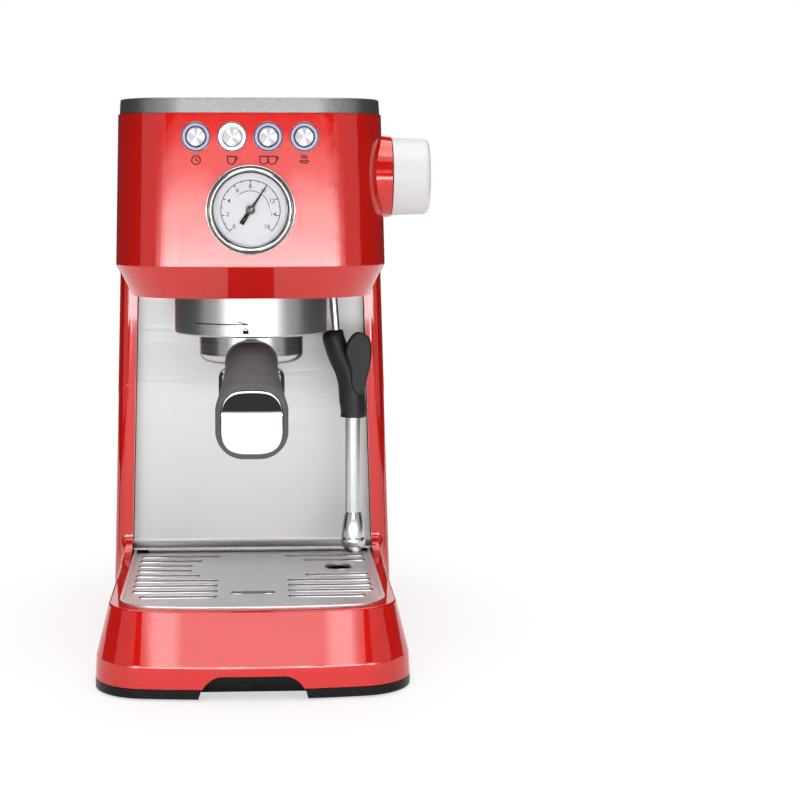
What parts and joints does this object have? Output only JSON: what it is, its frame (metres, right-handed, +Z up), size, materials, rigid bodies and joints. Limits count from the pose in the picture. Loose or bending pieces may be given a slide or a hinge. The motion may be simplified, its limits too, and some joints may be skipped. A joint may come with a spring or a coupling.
{
  "type": "espresso machine",
  "caption": "Compact pump espresso machine with leaning side pillars, overhanging head with pressure gauge and push buttons, locking portafilter, steam wand and pull-out drip tray.",
  "frame": {"origin": "middle of the base footprint, on the counter", "axes": "+Z up, +X to the operator's right, -Y towards the operator"},
  "size_m": [0.1815, 0.3966, 0.315],
  "materials": {
    "red_paint": "gloss metallic",
    "grey_cover": "fine speckled satin",
    "steel": "brushed",
    "polished": "polished",
    "aluminium": "spun",
    "cast_aluminium": "cast",
    "brass": "machined",
    "black_plastic": "fine grain",
    "grey_plastic": "gloss",
    "white_plastic": "satin",
    "red_plastic": "gloss",
    "rubber": "matte",
    "silicone": "milky",
    "clear": "clear",
    "smoked": "smoked clear plastic",
    "dial": "matt print",
    "light_off": "frosted",
    "light_on": "lit",
    "board": "circuit board",
    "black_metal": "matt"
  },
  "bodies": {
    "machine": {"main_housing": "red_paint", "head_shell": "red_paint", "top_cover": "grey_cover", "cup_plate": "steel", "splash_panel": "steel", "group_collar": "steel", "shower_screen": "steel", "screws": "steel", "inner_frame": "steel", "water_pipes": "steel", "steam_pipes": "steel", "gauge_case": "steel", "gauge_bezel": "polished", "button_bezels": "polished", "wand_socket": "polished", "group_body": "cast_aluminium", "heater_block": "cast_aluminium", "steam_valve": "brass", "solenoid_valve": "brass", "bottom_plate": "black_plastic", "rear_panel": "black_plastic", "tank_seat": "black_plastic", "cord_gland": "black_plastic", "pump": "black_plastic", "rubber_feet": "rubber", "group_gasket": "rubber", "pump_mounts": "rubber", "suction_hose": "silicone", "pressure_hose": "silicone", "gauge_lens": "clear", "gauge_dial": "dial", "light_rings": "light_off", "light_ring_lit": "light_on", "button_board": "board", "control_board": "board"},
    "portafilter": {"portafilter_bowl": "polished", "filter_basket": "steel", "basket_spring": "steel", "portafilter_spout": "polished", "portafilter_neck": "black_plastic", "portafilter_handle": "grey_plastic", "handle_end_plate": "polished"},
    "needle": {"gauge_needle": "black_metal"},
    "program_button": {"button_program": "aluminium"},
    "single_button": {"button_single": "aluminium"},
    "double_button": {"button_double": "aluminium"},
    "steam_button": {"button_steam": "aluminium"},
    "knob": {"steam_knob": "white_plastic", "knob_shaft": "steel"},
    "ball": {"wand_ball": "polished"},
    "wand": {"wand_tube": "steel", "wand_grip": "rubber", "wand_nozzle": "steel"},
    "tank": {"water_tank": "smoked", "tank_valve": "black_plastic"},
    "lid": {"tank_lid": "black_plastic"},
    "drawer": {"drip_front": "red_paint", "drip_tray": "black_plastic"},
    "grid": {"drip_grid": "steel"},
    "float": {"tray_float": "red_plastic"}
  },
  "joints": [
    {"name": "portafilter_turn", "type": "hinge", "parent": "machine", "child": "portafilter", "pos_m": [0, -0.072, 0.19], "axis": [0, 0, 1], "range_deg": [-45, 0]},
    {"name": "steam_knob_turn", "type": "hinge", "parent": "machine", "child": "knob", "pos_m": [0.08, -0.11, 0.2745], "axis": [1, 0, 0], "range_deg": [0, 180]},
    {"name": "wand_tilt", "type": "hinge", "parent": "machine", "child": "ball", "pos_m": [0.04681, -0.048, 0.213], "axis": [1, 0, 0], "range_deg": [-22, 8]},
    {"name": "wand_turn", "type": "hinge", "parent": "ball", "child": "wand", "pos_m": [0.04681, -0.048, 0.213], "axis": [-0.0785, 0, 0.9969], "range_deg": [-60, 30]},
    {"name": "gauge_reading", "type": "hinge", "parent": "machine", "child": "needle", "pos_m": [0, -0.155, 0.2575], "axis": [0, 1, 0], "range_deg": [-168.75, 101.25]},
    {"name": "program_press", "type": "slide", "parent": "machine", "child": "program_button", "axis": [0, 1, 0], "range_m": [0, 0.0015], "stiffness_N_per_m": 400, "springref_m": -0.002},
    {"name": "single_press", "type": "slide", "parent": "machine", "child": "single_button", "axis": [0, 1, 0], "range_m": [0, 0.0015], "stiffness_N_per_m": 400, "springref_m": -0.002},
    {"name": "double_press", "type": "slide", "parent": "machine", "child": "double_button", "axis": [0, 1, 0], "range_m": [0, 0.0015], "stiffness_N_per_m": 400, "springref_m": -0.002},
    {"name": "steam_press", "type": "slide", "parent": "machine", "child": "steam_button", "axis": [0, 1, 0], "range_m": [0, 0.0015], "stiffness_N_per_m": 400, "springref_m": -0.002},
    {"name": "drip_tray_pull", "type": "slide", "parent": "machine", "child": "drawer", "axis": [0, -1, 0], "range_m": [0, 0.15]},
    {"name": "drip_grid_lift", "type": "slide", "parent": "drawer", "child": "grid", "axis": [0, 0, 1], "range_m": [0, 0.006]},
    {"name": "float_rise", "type": "slide", "parent": "drawer", "child": "float", "axis": [0, 0, 1], "range_m": [0, 0.006]},
    {"name": "tank_lift", "type": "slide", "parent": "machine", "child": "tank", "axis": [0, 0, 1], "range_m": [0, 0.27]},
    {"name": "tank_lid_open", "type": "hinge", "parent": "tank", "child": "lid", "pos_m": [0, 0.0933, 0.3004], "axis": [1, 0, 0], "range_deg": [0, 88]}
  ]
}
